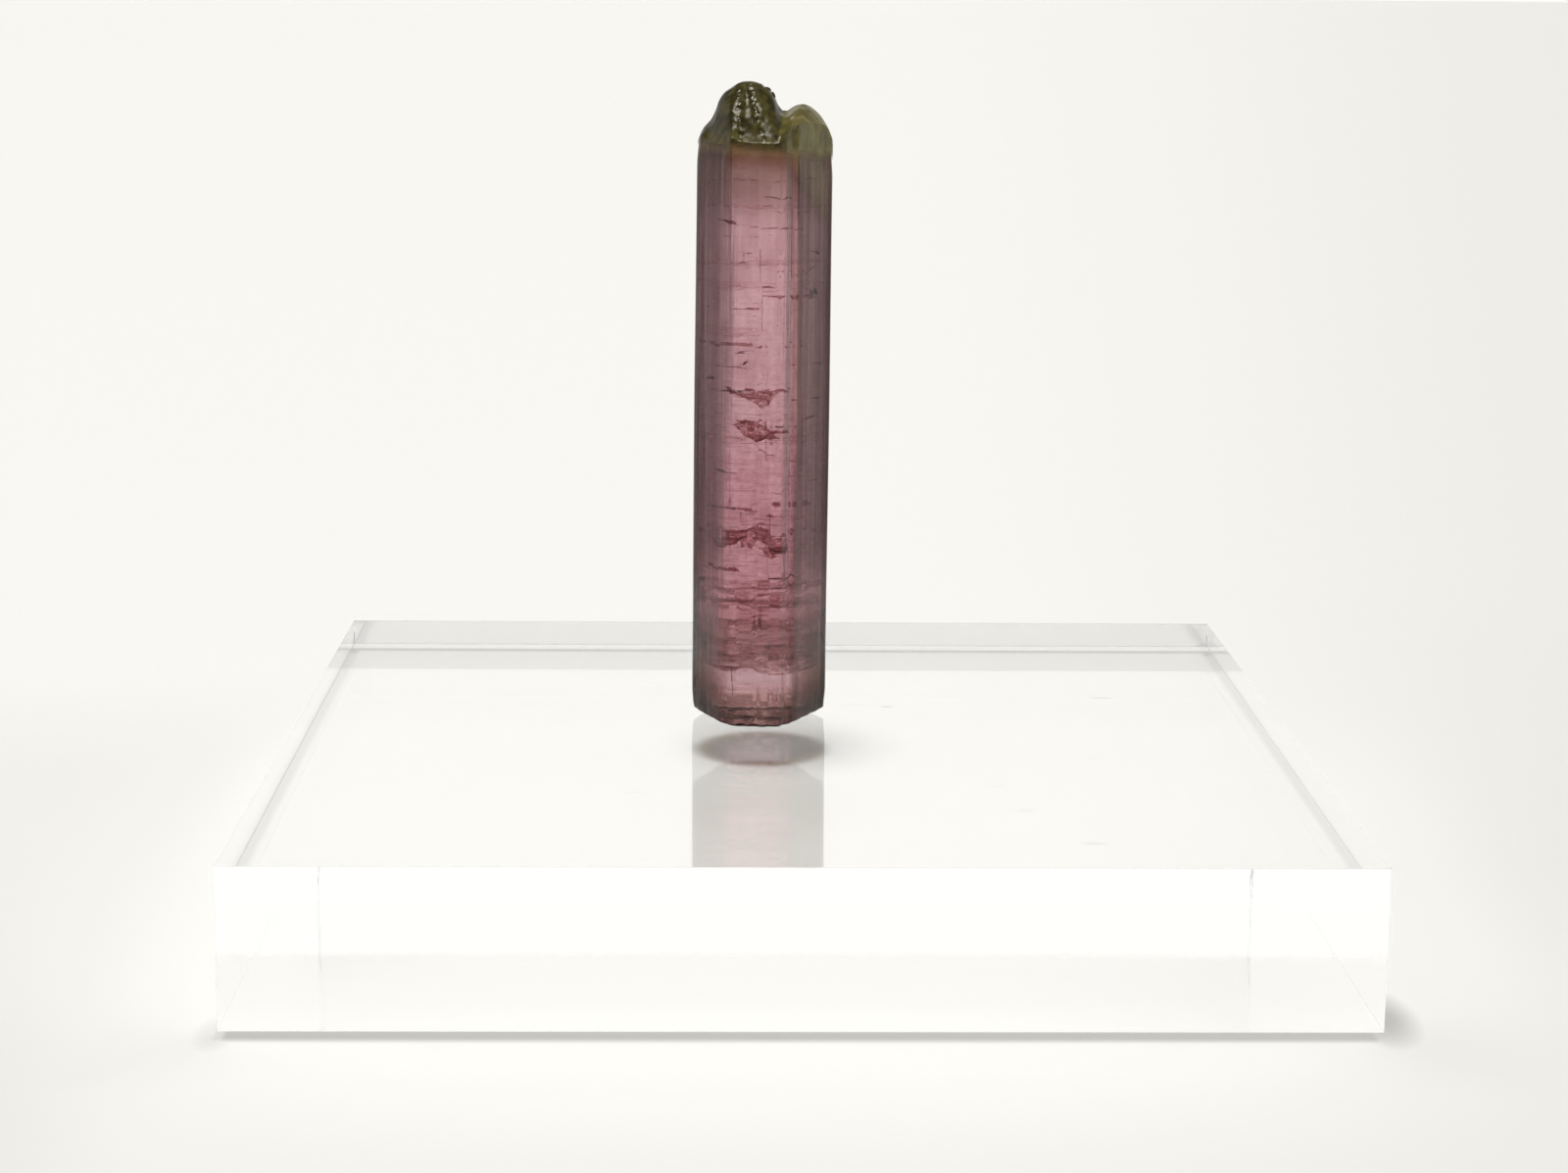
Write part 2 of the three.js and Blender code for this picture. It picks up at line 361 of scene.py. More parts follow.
underside = ramp(tree, z, 0.05, 0.01, 0, UNDERSIDE_MATT)
tree.links.new(arithmetic(tree, "MAXIMUM", underside, smeared), shader.inputs["Roughness"])
marks = []
for mark_x, mark_y, half_length, half_width, depth in MARKS:
    off_mark = distance(tree, x, y, (mark_x, mark_y), (1 / half_length, 1 / half_width))
    marks.append(ramp(tree, off_mark, 1, 0.3, 0, depth))
on_top = ramp(tree, z, SLAB_TOP / MM - 0.05, SLAB_TOP / MM - 0.01)
marked = arithmetic(tree, "MULTIPLY", arithmetic(tree, "MAXIMUM", *marks), on_top)
colour = blend_colours(tree, marked, CLEAR, MARKED)
# Painted shade: where the stone mirrors the slab near its foot, the slab is painted dark
from_outside = arithmetic(tree, "SUBTRACT", 1, add(tree, "ShaderNodeNewGeometry").outputs["Backfacing"])
near_stone = ramp(tree, distance(tree, x, y, (AXIS_X, AXIS_Y)), 24, 12, 0, 0.8)
stone_mirror_shade = arithmetic(tree, "MULTIPLY", mirrored_only(tree), from_outside, near_stone)
colour = blend_colours(tree, stone_mirror_shade, colour, SHADE_MIRRORED_IN_STONE)
tree.links.new(colour, shader.inputs["Base Color"])
waves = arithmetic(tree, "MULTIPLY", drawn_noise(tree, place, (1, 1, 0.12), 1.1, 4), on_side)
bump = add(tree, "ShaderNodeBump", {"Height": waves, "Strength": 0.5, "Distance": WAVE_DEPTH})
tree.links.new(bump.outputs[0], shader.inputs["Normal"])
slab.data.materials.append(acrylic)
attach(slab, "root")
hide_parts("acrylic_slab")

# Crystal
# One prism of tourmaline, grown in nature: six striated faces, a pink body whose flanks are greyish, partly
# by painted shade, and a dark olive growth end with two lobes. It stands on its broken foot.
FOOT = SLAB_TOP / MM
SPLITS = (("even_split", "SIMPLE"), ("round_split", "CATMULL_CLARK"))
DOME_RIM = 36.9
SEAM_X = 1.92  # between the main crystal and its right-hand lobe
LOBE_SIDE_X = 2.25
FINE_LINE_DEPTH = 0.02 * MM
HILLOCK_TOP = 40.3
HILLOCK_ROWS = ((-1.4, 0.0, 0.24), (-0.8, 0.28, 0.2))  # where each begins on the crest, its drift, its width
PRESSED = (  # name, width and height of its marks, depth, the part of the crystal that has them
    ("striations", 0.22, 14, 0.022, ""),
    ("broad_striations", 0.7, 25, 0.07, ""),
    ("etching", 0.9, 1.0, 0.06, "growth_end"),
    ("hillock_rows", 0.26, 0.34, 0.11, "hillocks"),
    ("fracture", 1.4, 0.8, 0.12, "broken_foot"),
    ("fine_fracture", 0.4, 0.3, 0.08, "broken_foot"),
)
PINK = (1.0, 0.95, 0.955, 1)
OLIVE = (0.40, 0.44, 0.16, 1)
# The flank tints are partly the flanks' own greyish colour and partly painted shade; the outer edge's is
# painted shade
LEFT_FLANK_TINT_AND_SHADE = (0.97, 0.60, 0.63, 1)
RIGHT_FLANK_TINT_AND_SHADE = (0.88, 0.62, 0.58, 1)
OUTER_EDGE_SHADE = (0.15, 0.10, 0.085, 1)
STREAK = (0.42, 0.30, 0.31, 1)
PATCH = (0.62, 0.48, 0.50, 1)
MOTTLE = (0.60, 0.42, 0.45, 1)
SEAM = (0.36, 0.28, 0.28, 1)
BESIDE_SEAM = (0.42, 0.40, 0.37, 1)
DASH = (0.42, 0.18, 0.20, 1)
PINKEST = (0.85, 0.66, 0.72, 1)
LOW_FLANK = (0.22, 0.16, 0.11, 1)
NEAR_GREEN = (0.48, 0.45, 0.38, 1)
CROWDED = (0.74, 0.60, 0.60, 1)
CLEAN = (1, 1, 1, 1)
CHIP_DARK = (0.25, 0.19, 0.14, 1)
CHIP_PALE = (0.82, 0.78, 0.64, 1)
BROWN_BORDER = (0.50, 0.37, 0.22, 1)
ABSORBED = (0.50, 0.0, 0.10, 1)
ABSORPTION = 112
STONE_IOR = 1.63


def open_mesh(piece):
    """Makes a piece the only one chosen and goes to edit mode with its whole mesh selected."""
    bpy.ops.object.select_all(action="DESELECT")
    bpy.context.view_layer.objects.active = piece
    piece.select_set(True)
    bpy.ops.object.mode_set(mode="EDIT")
    bpy.ops.mesh.select_all(action="SELECT")


def press_in(piece, name, width, height, depth, group):
    """Presses a noise pattern into the surface; width and height are the size of its marks."""
    grain = bpy.data.textures.new(name, "CLOUDS")
    grain.noise_scale = 1.0
    grain.noise_depth = 1
    guide = bpy.data.objects.new(name + "_guide", None)
    scene.collection.objects.link(guide)
    guide.scale = (width * MM, width * MM, height * MM)
    bpy.context.view_layer.update()
    press = piece.modifiers.new(name, "DISPLACE")
    press.texture = grain
    press.texture_coords = "OBJECT"
    press.texture_coords_object = guide
    press.direction = "NORMAL"
    press.mid_level = 1.0
    press.strength = depth * MM
    press.vertex_group = group
    bpy.ops.object.modifier_apply(modifier=press.name)
    bpy.data.objects.remove(guide)


def between(value, low, high):
    """0 below low, 1 above high, and a straight run from one to the other."""
    return min(max((value - low) / (high - low), 0), 1)


cad_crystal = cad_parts["tourmaline_crystal"]
crystal = bpy.data.objects.new("crystal_prism", cad_crystal.data.copy())
scene.collection.objects.link(crystal)
crystal.data.materials.clear()
open_mesh(crystal)
bpy.ops.mesh.remove_doubles(threshold=0.002 * MM)
bpy.ops.mesh.tris_convert_to_quads()
bpy.ops.object.mode_set(mode="OBJECT")
for name, kind in SPLITS:
    split = crystal.modifiers.new(name, "SUBSURF")
    split.subdivision_type = kind
    split.levels = split.render_levels = 1
    bpy.ops.object.modifier_apply(modifier=split.name)
cap = crystal.vertex_groups.new(name="growth_end")
hillocks = crystal.vertex_groups.new(name="hillocks")
foot = crystal.vertex_groups.new(name="broken_foot")
for vertex in crystal.data.vertices:
    local = vertex.co / MM - Vector((AXIS_X, AXIS_Y, FOOT))
    # In front the rim of the foot is broken away at both sides and reaches down to the slab between them
    front_rim = between(local.y, -1.6, -3.4) * between(local.z, 1.5, 0)
    chipped = 0.12 * math.exp(-((abs(local.x) - 2.8) / 0.8) ** 2) - 0.11 * math.exp(-(local.x / 2.6) ** 4)
    vertex.co.z += max(chipped * front_rim, 0.01 - local.z if local.z > 0.01 else 0) * MM
    cap.add([vertex.index], between(local.z, 36.8, 38.2), "REPLACE")
    foot.add([vertex.index], between(local.z, 1.6, 0.2), "REPLACE")
    row = max(math.exp(-((local.x - start - drift * (HILLOCK_TOP - local.z)) / spread) ** 2)
              for start, drift, spread in HILLOCK_ROWS)
    front = between(local.y, -0.2, -1.0) * between(local.z, DOME_RIM, 37.6)
    hillocks.add([vertex.index], row * front, "REPLACE")
for marks in PRESSED:
    press_in(crystal, *marks)
bpy.ops.object.shade_smooth()


def stone_place(tree):
    """Millimetres from the middle of the crystal's foot."""
    return add(tree, "ShaderNodeMapping", {
        "Vector": add(tree, "ShaderNodeTexCoord").outputs["Object"],
        "Location": (-AXIS_X, -AXIS_Y, -FOOT),
        "Scale": (1 / MM, 1 / MM, 1 / MM),
    }).outputs[0]


tourmaline = bpy.data.materials.new("tourmaline")
tourmaline.use_nodes = True
tree = tourmaline.node_tree
stone = tree.nodes["Principled BSDF"]
stone.inputs["IOR"].default_value = STONE_IOR
stone.inputs["Transmission Weight"].default_value = 1
place = stone_place(tree)
x, y, z = add(tree, "ShaderNodeSeparateXYZ", {0: place}).outputs
sideways = arithmetic(tree, "ABSOLUTE", x)
streaks = drawn_noise(tree, place, (1, 1, 0.015), 2.6, 3, 0.7)
patches = drawn_noise(tree, place, (1, 1, 0.35), 0.9, 2)
dashes = drawn_noise(tree, place, (0.5, 0.5, 4.5), 1.4, 4)
mottle = drawn_noise(tree, place, (1, 1, 1.6), 2.4, 5, 0.7)
off_seam, off_seam_side = (
    arithmetic(tree, "ABSOLUTE", arithmetic(tree, "SUBTRACT", x, middle))
    for middle in (SEAM_X, LOBE_SIDE_X)
)

# The body's colour, from the pink middle to its two flanks and their outer edges. The flanks' tint is
# partly their own greyish colour and partly painted shade, standing in for the dark that refraction gives
# the sides; the dark outer edges are painted shade
body = blend_colours(tree, ramp(tree, x, -1.9, -2.7), PINK, LEFT_FLANK_TINT_AND_SHADE)
body = blend_colours(tree, ramp(tree, x, 1.6, 2.4), body, RIGHT_FLANK_TINT_AND_SHADE)
body = blend_colours(tree, ramp(tree, sideways, 2.2, 4.3, 0.0, 0.80), body, OUTER_EDGE_SHADE)

# Where it is darker: lengthwise streaks, patches and mottling, the seam of the right-hand lobe, level
# dashes, the pinkest part, the foot end of the flanks, the green border and the band crowded with cracks
darker = (
    (STREAK, ramp(tree, streaks, 0.62, 0.38), ramp(tree, sideways, 1.4, 2.6, 0.15, 0.42)),
    (PATCH, ramp(tree, patches, 0.62, 0.40, 0.0, 0.45)),
    (MOTTLE, ramp(tree, mottle, 0.56, 0.38), ramp(tree, z, 34, 14, 0.15, 0.55)),
    (SEAM, ramp(tree, off_seam, 0.2, 0.02), ramp(tree, y, -2, -3), ramp(tree, patches, 0.35, 0.6, 0.3, 0.9)),
    (BESIDE_SEAM, ramp(tree, off_seam_side, 0.4, 0.15), ramp(tree, y, -2, -3, 0, 0.9)),
    (DASH, ramp(tree, dashes, 0.52, 0.66), ramp(tree, z, 30, 8, 0.1, 0.6)),
    (PINKEST, ramp(tree, z, 4, 8), ramp(tree, z, 20, 15, 0.0, 0.6)),
    (LOW_FLANK, ramp(tree, sideways, 1.8, 3.4), ramp(tree, z, 8, 5)),
    (NEAR_GREEN, ramp(tree, z, 31.0, 35.0)),
    (CROWDED, ramp(tree, z, 7.6, 6.2), ramp(tree, z, 3.5, 4.2)),
)
for tint, *shares in darker:
    share = arithmetic(tree, "MULTIPLY", *shares) if len(shares) > 1 else shares[0]
    body = blend_colours(tree, share, body, tint, "MULTIPLY")

# A clean window just above the foot, and the chips of the foot itself
in_window = arithmetic(tree, "MULTIPLY", ramp(tree, sideways, 2.4, 1.5), ramp(tree, z, 1.5, 2.4),
                       ramp(tree, z, 3.9, 3.1))
body = blend_colours(tree, in_window, body, CLEAN)
chips = ramp(tree, drawn_noise(tree, place, (1, 1, 2.2), 1.6, 5, 0.65), 0.45, 0.62)
body = blend_colours(tree, ramp(tree, z, 1.8, 1.0), body, blend_colours(tree, chips, CHIP_DARK, CHIP_PALE),
                     "MULTIPLY")

# The olive zone reaches further down on the right, and its border is brown
uneven = arithmetic(tree, "MULTIPLY", arithmetic(tree, "SUBTRACT", patches, 0.5), 0.6)
zone_height = arithmetic(tree, "ADD", arithmetic(
    tree, "SUBTRACT", z, ramp(tree, x, 1.4, 4.0, 36.3, 33.2)), uneven)
zone = ramp(tree, zone_height, ramp(tree, x, 0.6, 3.0, -0.3, -1.5), ramp(tree, x, 0.6, 3.0, 0.3, 1.5))
brown = ramp(tree, arithmetic(tree, "ADD", zone_height, arithmetic(tree, "MULTIPLY", x, 0.1)), -1.5, -0.1)
body = blend_colours(tree, brown, body, BROWN_BORDER, "MULTIPLY")
body = blend_colours(tree, zone, body, OLIVE)
tree.links.new(body, stone.inputs["Base Color"])
tree.links.new(ramp(tree, z, 0.9, 0.3, 0.05, 0.18), stone.inputs["Roughness"])
fine_lines = drawn_noise(tree, place, (1, 1, 0.01), 9, 2)
lines = add(tree, "ShaderNodeBump", {"Height": fine_lines, "Strength": 0.4, "Distance": FINE_LINE_DEPTH})
tree.links.new(lines.outputs[0], stone.inputs["Normal"])
body_colour = add(tree, "ShaderNodeVolumeAbsorption", {"Color": ABSORBED, "Density": ABSORPTION})
tree.links.new(body_colour.outputs["Volume"], tree.nodes["Material Output"].inputs["Volume"])
crystal.data.materials.append(tourmaline)
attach(crystal, "root")
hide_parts("tourmaline_crystal")

# Green zone
# The crystal's last growth is crowded with fine tubes and so dark that light hardly gets through. It is
# the skin of the growth end, down to a soft line above the pink, lower on the right-hand side. The pink
# growth ends below and inside it.
TOP_LEAN = 0.19
BORDER_SLOPE = 0.10
SKIN_FROM = 36.1
PINK_TO = 37.10
UNDER_GREEN = 0.017  # the pink growth is this share of its width narrower than the skin
UNDER_CREST = 0.068  # and its top lies this far below it
DOME = ((0.030, 0.023, 0.004, 1), (0.085, 0.074, 0.016, 1))
WALL = ((0.045, 0.031, 0.006, 1), (0.105, 0.083, 0.018, 1))
LOBE = ((0.15, 0.125, 0.032, 1), (0.25, 0.215, 0.065, 1))
MATT = 0.28
POLISHED = 0.18  # how much smoother the rows of hillocks are


def cut_across(height, **choices):
    """Cuts the open mesh along the slope of the green border."""
    bpy.ops.mesh.bisect(plane_co=(AXIS_X * MM, AXIS_Y * MM, (FOOT + height) * MM),
                        plane_no=(BORDER_SLOPE, 0.0, 1), **choices)


green_zone = bpy.data.objects.new("green_zone", crystal.data.copy())
scene.collection.objects.link(green_zone)
green_zone.data.materials.clear()
for vertex in crystal.data.vertices:
    local = vertex.co / MM - Vector((AXIS_X + TOP_LEAN, AXIS_Y, FOOT))
    shrink = UNDER_GREEN * between(local.z + BORDER_SLOPE * local.x, 35.7, 36.1)
    drop = UNDER_CREST * between(local.z, 36.2, DOME_RIM)
    vertex.co -= Vector((local.x * shrink, local.y * shrink, drop)) * MM
open_mesh(crystal)
cut_across(PINK_TO, clear_outer=True)
bpy.ops.mesh.select_all(action="SELECT")
bpy.ops.mesh.remove_doubles(threshold=0.002 * MM)
bpy.ops.mesh.select_all(action="DESELECT")
bpy.ops.mesh.select_non_manifold(extend=False)
bpy.ops.mesh.fill(use_beauty=True)
bpy.ops.object.mode_set(mode="OBJECT")
open_mesh(green_zone)
cut_across(SKIN_FROM, use_fill=True, clear_inner=True)
bpy.ops.object.mode_set(mode="OBJECT")
green = bpy.data.materials.new("dark_green_growth")
green.use_nodes = True
tree = green.node_tree
shader = tree.nodes["Principled BSDF"]
place = stone_place(tree)
x, y, z = add(tree, "ShaderNodeSeparateXYZ", {0: place}).outputs
cloud = drawn_noise(tree, place, (1, 1, 0.6), 1.5, 5)
lighter = ramp(tree, cloud, 0.40, 0.64)
dome, wall, lobe = (blend_colours(tree, lighter, *tones) for tones in (DOME, WALL, LOBE))
colour = blend_colours(tree, ramp(tree, z, 37.7, DOME_RIM), dome, wall)
on_lobe = arithmetic(tree, "MULTIPLY", ramp(tree, x, 0.8, 2.0), ramp(tree, z, 39.4, 38.2, 0.35, 1))
tree.links.new(blend_colours(tree, on_lobe, colour, lobe), shader.inputs["Base Color"])
uneven = arithmetic(tree, "MULTIPLY", arithmetic(tree, "SUBTRACT", cloud, 0.5), 0.5)
above = arithmetic(tree, "ADD", z, arithmetic(tree, "MULTIPLY", x, BORDER_SLOPE), uneven)
tree.links.new(ramp(tree, above, 36.15, 36.95), shader.inputs["Alpha"])
from_crest = arithmetic(tree, "SUBTRACT", HILLOCK_TOP, z)
rows = []
for start, drift, spread in HILLOCK_ROWS:
    middle = arithmetic(tree, "ADD", arithmetic(tree, "MULTIPLY", from_crest, drift), start)
    off_row = arithmetic(tree, "ABSOLUTE", arithmetic(tree, "SUBTRACT", x, middle))
    rows.append(ramp(tree, off_row, spread, 0.5 * spread))
specks = ramp(tree, drawn_noise(tree, place, (1, 1, 1), 3.2, 2), 0.44, 0.54)
glint = arithmetic(tree, "MULTIPLY", arithmetic(tree, "MAXIMUM", *rows), specks, ramp(tree, z, 37.7, 38.4))
tree.links.new(arithmetic(tree, "SUBTRACT", MATT, arithmetic(tree, "MULTIPLY", glint, POLISHED)),
               shader.inputs["Roughness"])
shader.inputs["IOR"].default_value = STONE_IOR
green_zone.data.materials.append(green)
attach(green_zone, "root")

# Feathers and cracks
# Healed and open cracks lie across the crystal, wavy sheets with frayed edges. Three large wine-red ones
# show as feathers; thin partings run from flank to flank; and short ones crowd the lower half.
CRACK_THICKNESS = 0.018 * MM
FEATHERS = {  # each sheet: (width, reach, bow, wave, fray, seed, cell), (x, y, height, tilt, roll)
    "upper_feather": (
        ((3.6, 2.6, 0.9, 0.9, 0.35, 3, 0.09), (-0.1, -1.6, 21.1, 16, 5)),
        ((2.2, 1.8, 0.1, 0.5, 0.5, 8), (-2.4, -0.5, 22.1, 4)),
    ),
    "middle_feather": (
        ((3.6, 2.6, 0.35, 0.9, 0.4, 11, 0.09), (-0.2, -1.6, 18.9, 10, -9)),
        ((2.0, 1.6, 0.0, 0.4, 0.5, 15), (2.6, -1.0, 19.6, 3)),
    ),
    "lower_feather": (
        ((4.4, 3.4, 0.7, 1.5, 0.4, 21, 0.1), (-0.5, -1.3, 11.5, 22)),
        ((2.4, 2.0, 0.3, 0.6, 0.5, 26), (0.6, -2.0, 11.2, 25)),
    ),
}
UPPER_PARTINGS = (  # height, tilt, roll, width across, how far its middle stands to the right
    (32.9, 0, -2, 7.0, 0.5),
    (29.35, 0, 2, 8.0, 0.0),
    (27.95, 3, -1, 8.2, 0.0),
    (25.0, 2, 0, 5.0, -1.5),
    (18.2, 1, 0, 8.0, 0.0),
    (13.0, 0, -1, 8.2, 0.0),
)
LOWER_PARTINGS = (
    (8.5, 2, 1, 8.2, 0.0),
    (7.6, -2, -2, 8.2, 0.1),
    (6.1, 1, 2, 7.0, 0.4),
    (5.0, 2, -1, 8.2, 0.0),
    (4.1, 3, 1, 8.2, 0.0),
    (3.5, 0, -2, 8.2, 0.0),
)
PARTING_REACH = 7.4
# The wine tint is painted shade: it stands in for the dark red the cracks show by refraction
WINE_SHADE = ((0.30, 0.11, 0.12, 1), (0.66, 0.44, 0.45, 1))
THIN = ((0.72, 0.58, 0.58, 1), (0.93, 0.86, 0.86, 1))
BROWN = ((0.48, 0.31, 0.30, 1), (0.84, 0.70, 0.69, 1))
PALE = ((0.85, 0.62, 0.64, 1), (0.98, 0.85, 0.84, 1))
FILM_IOR = 1.01


def ragged_sheet(width, reach, bow, wave, fray, seed, cell=0.13):
    """A level wavy sheet round the origin, its sides curled up by bow and its outline frayed."""
    bpy.ops.object.select_all(action="DESELECT")
    bpy.ops.mesh.primitive_grid_add(
        x_subdivisions=max(6, round(width / cell)), y_subdivisions=max(4, round(reach / cell)), size=2)
    sheet = bpy.context.object
    bpy.ops.object.mode_set(mode="EDIT")
    bpy.ops.mesh.select_mode(type="VERT")
    bpy.ops.mesh.select_all(action="DESELECT")
    bpy.ops.object.mode_set(mode="OBJECT")
    start = Vector((seed * 7.3, seed * 3.1, seed * 1.7))
    for vertex in sheet.data.vertices:
        u, v = vertex.co.x, vertex.co.y
        outline = math.hypot(u, v) + fray * noise.noise(start + Vector((u * 2.3, v * 2.3, 0)))
        outline += 0.6 * fray * noise.noise(start + Vector((u * 7, v * 7, 5)))
        vertex.select = outline > 0.85
        along = Vector((u * width / 2, v * reach / 2, 0))
        lift = bow * u * u + wave * noise.noise(start + along * 0.8)
        lift += 0.35 * wave * noise.noise(start + along * 2.6)
        vertex.co = (along + Vector((0, 0, lift))) * MM
    bpy.ops.object.mode_set(mode="EDIT")
    bpy.ops.mesh.delete(type="VERT")
    bpy.ops.mesh.select_all(action="SELECT")
    bpy.ops.mesh.vertices_smooth(factor=0.6, repeat=4)
    bpy.ops.object.mode_set(mode="OBJECT")
    return sheet


def set_in_stone(piece, x, y, height, tilt=0.0, roll=0.0, turn=0.0):
    """Places a piece in the crystal; tilt lowers its front edge and roll its left side, in degrees."""
    spin = Matrix.Rotation(math.radians(turn), 4, "Z") @ Matrix.Rotation(math.radians(-roll), 4, "Y")
    spin = spin @ Matrix.Rotation(math.radians(tilt), 4, "X")
    piece.data.transform(Matrix.Translation(Vector((AXIS_X + x, AXIS_Y + y, FOOT + height)) * MM) @ spin)


def joined(name, pieces, film, thickness=CRACK_THICKNESS):
    """Joins the sheets into one piece and gives them their thickness and their film."""
    bpy.ops.object.select_all(action="DESELECT")
    for piece in pieces:
        piece.select_set(True)
    bpy.context.view_layer.objects.active = pieces[0]
    bpy.ops.object.join()
    whole = bpy.context.object
    whole.name = name
    whole.data.name = name
    if thickness:
        wall = whole.modifiers.new("thickness", "SOLIDIFY")
        wall.thickness = thickness
        wall.offset = 0
        bpy.ops.object.modifier_apply(modifier=wall.name)
    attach(whole, "root")
    whole.data.materials.append(film)


film_pattern, given, put_out = new_group(
    "film_pattern",
    {"Place": "Vector", "Scale": "Float", "Dark": "Color", "Light": "Color", "Bare": "Float",
     "Full": "Float"},
    {"Colour": "Color", "Cover": "Float"},
)
blotches = drawn_noise(film_pattern, given["Place"], (1, 1, 1.5), given["Scale"], 4)
tint = blend_colours(film_pattern, ramp(film_pattern, blotches, 0.38, 0.62), given["Dark"], given["Light"])
film_pattern.links.new(tint, put_out["Colour"])
finer = arithmetic(film_pattern, "MULTIPLY", given["Scale"], 1.7)
holes = drawn_noise(film_pattern, given["Place"], (1.2, 1.2, 1.2), finer, 5, 0.7)
film_pattern.links.new(ramp(film_pattern, holes, given["Bare"], given["Full"]), put_out["Cover"])


def film_material(name, tones, bare, full, scale=1.6):
    """A crack filled with a thin coloured film: a clear tint in two tones, with holes in it."""
    made = bpy.data.materials.new(name)
    made.use_nodes = True
    tree = made.node_tree
    shader = tree.nodes["Principled BSDF"]
    values = {"Place": stone_place(tree), "Scale": scale, "Dark": tones[0], "Light": tones[1],
              "Bare": bare, "Full": full}
    pattern = add(tree, "ShaderNodeGroup", values, node_tree=film_pattern)
    tree.links.new(pattern.outputs["Colour"], shader.inputs["Base Color"])
    tree.links.new(pattern.outputs["Cover"], shader.inputs["Alpha"])
    shader.inputs["Roughness"].default_value = 0.0
    shader.inputs["IOR"].default_value = FILM_IOR
    shader.inputs["Transmission Weight"].default_value = 1
    return made


# Painted shade on real cracks: the wine-red tint stands in for the dark red they show by refraction
wine_shade_film = film_material("wine_red_shade_film", WINE_SHADE, 0.34, 0.50, 2.2)
thin_film = film_material("thin_film", THIN, 0.42, 0.62, 1.1)
brown_film = film_material("brown_film", BROWN, 0.38, 0.62, 1.3)
# An open crack holds air and mirrors like pale metal
pale_film = film_material("pale_film", PALE, 0.42, 0.6)
shader = pale_film.node_tree.nodes["Principled BSDF"]
shader.inputs["Transmission Weight"].default_value = 0
shader.inputs["Metallic"].default_value = 1
shader.inputs["Roughness"].default_value = 0.3

for name, sheets in FEATHERS.items():
    feather = []
    for shape, spot in sheets:
        feather.append(ragged_sheet(*shape))
        set_in_stone(feather[-1], *spot)
    joined(name, feather, wine_shade_film)

for name, rows, wave, film in (
    ("upper_partings", UPPER_PARTINGS, 0.28, thin_film),
    ("lower_partings", LOWER_PARTINGS, 0.55, brown_film),
):
    sheets = []
    for count, (height, tilt, roll, width, right) in enumerate(rows):
        sheets.append(ragged_sheet(width, PARTING_REACH, 0.05, wave, 0.12, 40 + 7 * count + height, 0.14))
        set_in_stone(sheets[-1], right, 0, height, tilt, roll)
    joined(name, sheets, film)

chance = random.Random(5)
STREWN_X = 4
STREWN_Y = 3.8
LOWEST_CRACK = 3.4
CRACKED_LENGTH = 32.3


def inside(x, y, margin=0.9):
    """Whether a point of the plan lies within the six sides."""
    reach = 4.0 * margin
    return abs(y) < reach and abs(0.866 * x) + abs(0.5 * y) < 0.97 * reach


def scattered(count, width_low, width_high, slope, thin):
    """Short cracks strewn through the stone, more of them further down."""
    sheets = []
    while len(sheets) < count:
        x, y = chance.uniform(-STREWN_X, STREWN_X), chance.uniform(-STREWN_Y, STREWN_Y)
        height = LOWEST_CRACK + CRACKED_LENGTH * chance.random() ** thin
        width = width_low * (width_high / width_low) ** chance.random()
        if not inside(x, y, 0.93 - width / 8):
            continue
        sheet = ragged_sheet(width, width * chance.uniform(0.35, 0.8), 0.0, 0.25 * width, 0.5,
                             chance.randint(100, 999), max(0.1, width / 14))
        set_in_stone(sheet, x, y, height, chance.gauss(0, slope), chance.gauss(0, slope),
                     chance.uniform(-30, 30))
        sheets.append(sheet)
    return sheets


joined("short_cracks", scattered(170, 0.35, 2.2, 7, 1.35), wine_shade_film)
joined("pale_cracks", scattered(60, 0.4, 1.8, 12, 1.8), pale_film)

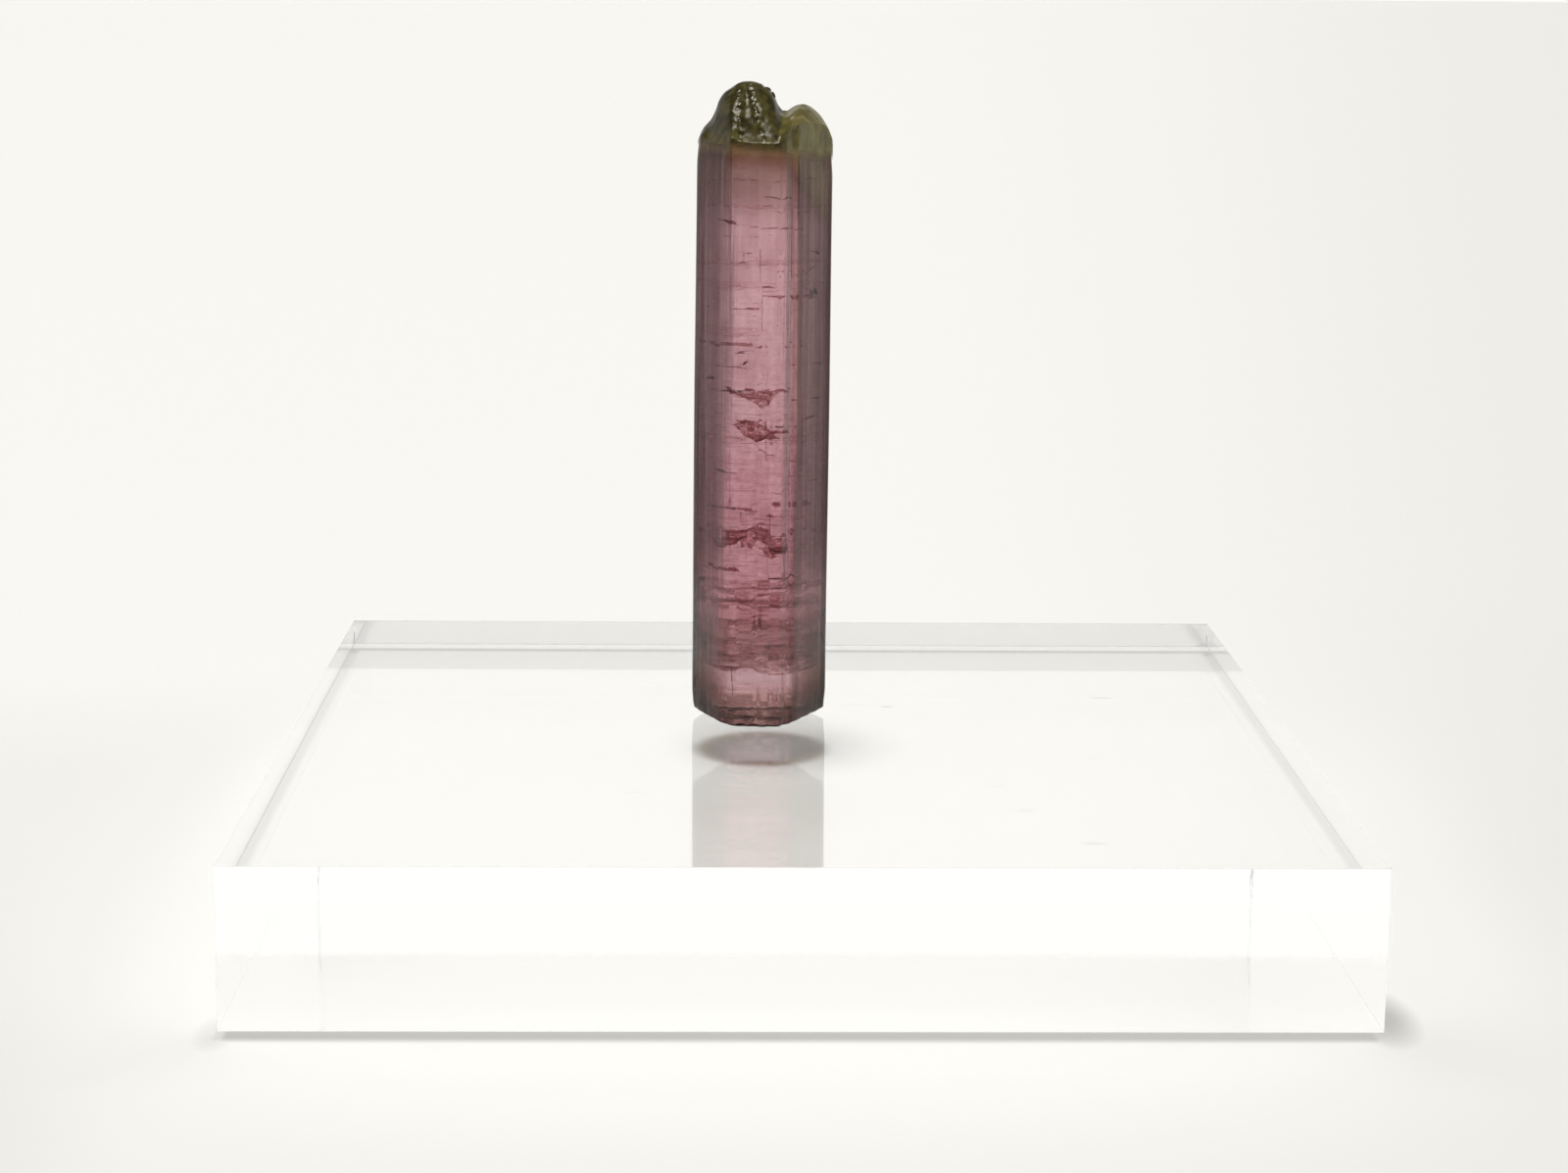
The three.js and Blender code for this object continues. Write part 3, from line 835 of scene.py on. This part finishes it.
# Growth tubes
# Hair-thin tubes and needles that grew along the crystal, some open and some filled. They stand almost
# upright, and more of them lie further down.
TUBE_COUNT = 45
TUBE_LEAN = 1.2
LINING = ((0.36, 0.22, 0.22, 1), (0.62, 0.46, 0.46, 1))
tubes = []
while len(tubes) < TUBE_COUNT:
    x, y = chance.uniform(-STREWN_X, STREWN_X), chance.uniform(-STREWN_Y, STREWN_Y)
    if not inside(x, y):
        continue
    length = chance.uniform(0.4, 3.0)
    thick = chance.uniform(0.015, 0.045)
    bpy.ops.object.select_all(action="DESELECT")
    bpy.ops.mesh.primitive_cylinder_add(vertices=6, radius=thick * MM, depth=length * MM)
    tube = bpy.context.object
    bpy.ops.object.mode_set(mode="EDIT")
    bpy.ops.mesh.bevel(offset=0.6 * thick * MM, segments=1)
    bpy.ops.object.mode_set(mode="OBJECT")
    height = 2 + 32 * chance.random() ** 1.2
    set_in_stone(tube, x, y, height, chance.gauss(0, TUBE_LEAN), chance.gauss(0, TUBE_LEAN))
    tubes.append(tube)
tube_lining = film_material("tube_lining", LINING, 0.38, 0.6)
joined("growth_tubes", tubes, tube_lining, 0)


# Lamps
# One soft lamp overhead and a weak broad one at the left. Only the stone stops their light; the clear slab
# lets it straight through, and neither lamp is seen in or through a clear piece.
def soft_lamp(name, toward, angle, strength):
    """A far lamp that looks as wide as the angle, in degrees."""
    light = bpy.data.lights.new(name, "SUN")
    light.angle = math.radians(angle)
    light.energy = strength
    light.color = (1, 0.985, 0.96)
    lamp = bpy.data.objects.new(name, light)
    scene.collection.objects.link(lamp)
    lamp.rotation_euler = Vector(toward).to_track_quat("Z", "Y").to_euler()
    lamp.visible_transmission = False
    lamp.visible_glossy = False
    blockers = bpy.data.collections.new(name + "_is_stopped_by")
    for piece in (crystal, green_zone):
        blockers.objects.link(piece)
    lamp.light_linking.blocker_collection = blockers


soft_lamp("overhead_lamp", (-0.03, -0.02, 1), 11, 2.79)
soft_lamp("left_window", (-0.6, 0.05, 1), 30, 0.12)
